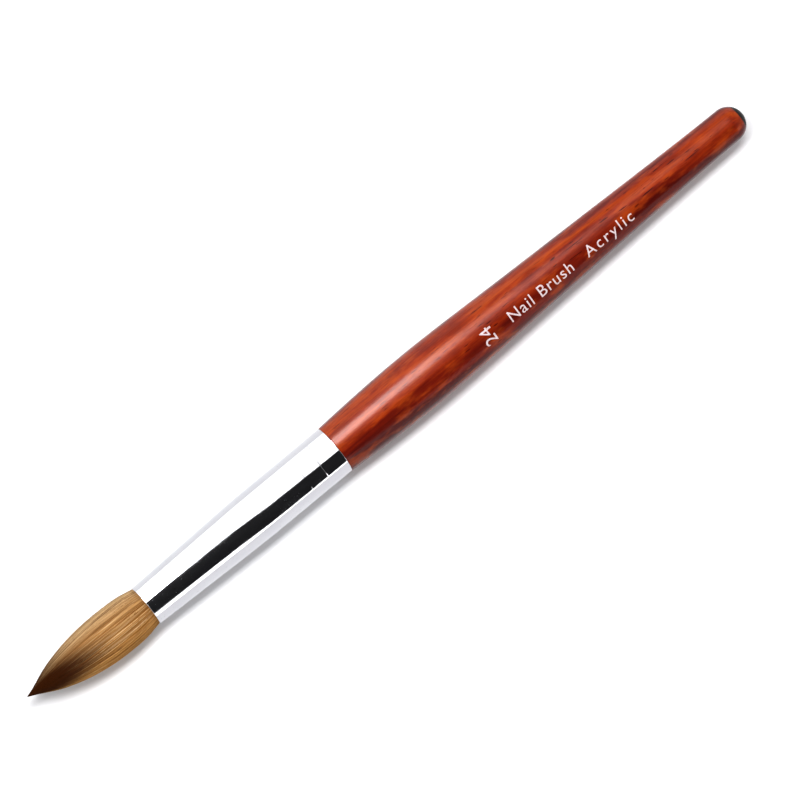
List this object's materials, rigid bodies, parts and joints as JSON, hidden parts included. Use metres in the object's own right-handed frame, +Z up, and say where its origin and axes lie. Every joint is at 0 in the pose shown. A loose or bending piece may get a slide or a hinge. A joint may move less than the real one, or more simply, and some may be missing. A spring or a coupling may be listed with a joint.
{
  "type": "acrylic nail brush",
  "caption": "Round acrylic nail brush with a pointed natural-hair tuft, a tapered plated ferrule with crimp rings, and a turned, lacquered wooden handle.",
  "frame": {"origin": "under the middle of the brush's length, on the surface that the brush lies on", "axes": "+X along the brush from the hair tip to the butt, +Z up from the surface, +Y to the side; the brush's own axis is parallel to X at z 6.0 mm"},
  "size_m": [0.1832, 0.012, 0.012],
  "materials": {
    "lacquered_wood": "gloss",
    "plated_brass": "polished",
    "wood_glue": "satin",
    "hair": "satin",
    "waxed_thread": "satin",
    "epoxy": "gloss"
  },
  "bodies": {
    "brush": {"handle": "lacquered_wood", "ferrule": "plated_brass", "tenon_glue": "wood_glue", "tuft_root": "hair", "binding_thread": "waxed_thread", "root_epoxy": "epoxy"},
    "tuft_middle": {"tuft_belly": "hair"},
    "tuft_end": {"tuft_tip": "hair"}
  },
  "joints": [
    {"name": "tuft_bend", "type": "hinge", "parent": "brush", "child": "tuft_middle", "pos_m": [-0.0654, 0, 0.006], "axis": [0, 0, 1], "range_deg": [-20, 20], "stiffness_Nm_per_rad": 0.012},
    {"name": "tip_bend", "type": "hinge", "parent": "tuft_middle", "child": "tuft_end", "pos_m": [-0.0774, 0, 0.006], "axis": [0, 0, 1], "range_deg": [-28, 28], "stiffness_Nm_per_rad": 0.006}
  ]
}
